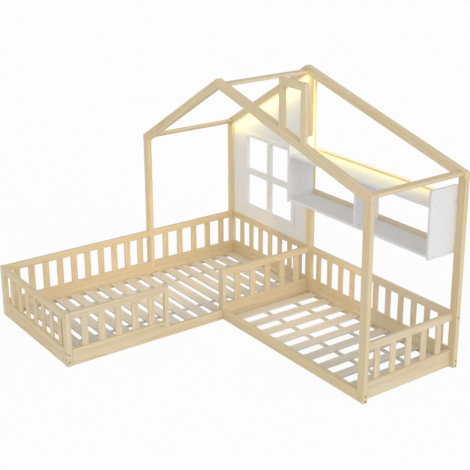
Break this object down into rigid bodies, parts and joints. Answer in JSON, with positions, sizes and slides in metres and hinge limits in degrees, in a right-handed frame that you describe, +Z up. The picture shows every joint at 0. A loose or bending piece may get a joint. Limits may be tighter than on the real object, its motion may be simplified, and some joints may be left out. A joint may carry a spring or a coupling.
{
  "type": "kids bed",
  "caption": "Low corner house bed with a long and a short sleeping place, slatted fences, a rafter frame, a white shelf and a window panel.",
  "frame": {"origin": "on the floor under the middle of the outer box", "axes": "+Z up, +Y towards the back of the long bed, +X along the long bed towards the window side"},
  "size_m": [2.082, 2.575, 1.909],
  "materials": {
    "pine": "sanded and clear oiled",
    "pine_slats": "planed and raw",
    "white_board": "white matt laminate on board",
    "webbing": "woven tape",
    "steel": "dark zinc plated",
    "light": "frosted cover of a light strip"
  },
  "bodies": {
    "root": {"base_slats_long_bed": "pine_slats", "base_slats_short_bed": "pine_slats", "chimney_bar": "pine", "chimney_posts": "pine", "corner_post_near": "pine", "corner_stile_back": "pine", "eave_beam_back": "pine", "eave_beam_front": "pine", "entry_stile": "pine", "fence_back_left_rails": "pine", "fence_back_left_slats": "pine", "fence_back_right_rails": "pine", "fence_back_right_slats": "pine", "fence_entry_rails": "pine", "fence_entry_slats": "pine", "fence_front_rails": "pine", "fence_front_slats": "pine", "fence_left_end_rails": "pine", "fence_left_end_slats": "pine", "fence_middle_rails": "pine", "fence_middle_slats": "pine", "fence_outer_rails": "pine", "fence_outer_slats": "pine", "fence_window_rails": "pine", "fence_window_slats": "pine", "inner_post": "pine", "joint_bolts": "steel", "ledgers_long_bed": "pine", "ledgers_short_bed": "pine", "light_strips": "light", "post_back_left": "pine", "post_back_right": "pine", "post_front_left": "pine", "post_front_right": "pine", "post_middle": "pine", "rafter_back_left": "pine", "rafter_back_right": "pine", "rafter_front_left": "pine", "rafter_front_right": "pine", "ridge_beam": "pine", "screws": "steel", "shelf_bottom": "white_board", "shelf_divider": "white_board", "shelf_end_panels": "white_board", "shelf_rails": "pine", "shelf_top": "white_board", "side_board_back_left": "pine", "side_board_back_right": "pine", "side_board_entry": "pine", "side_board_front": "pine", "side_board_left_end": "pine", "side_board_middle": "pine", "side_board_open_side": "pine", "side_board_outer": "pine", "side_board_window": "pine", "slat_tapes": "webbing", "window_casing": "white_board", "window_panel": "white_board"}
  },
  "joints": []
}
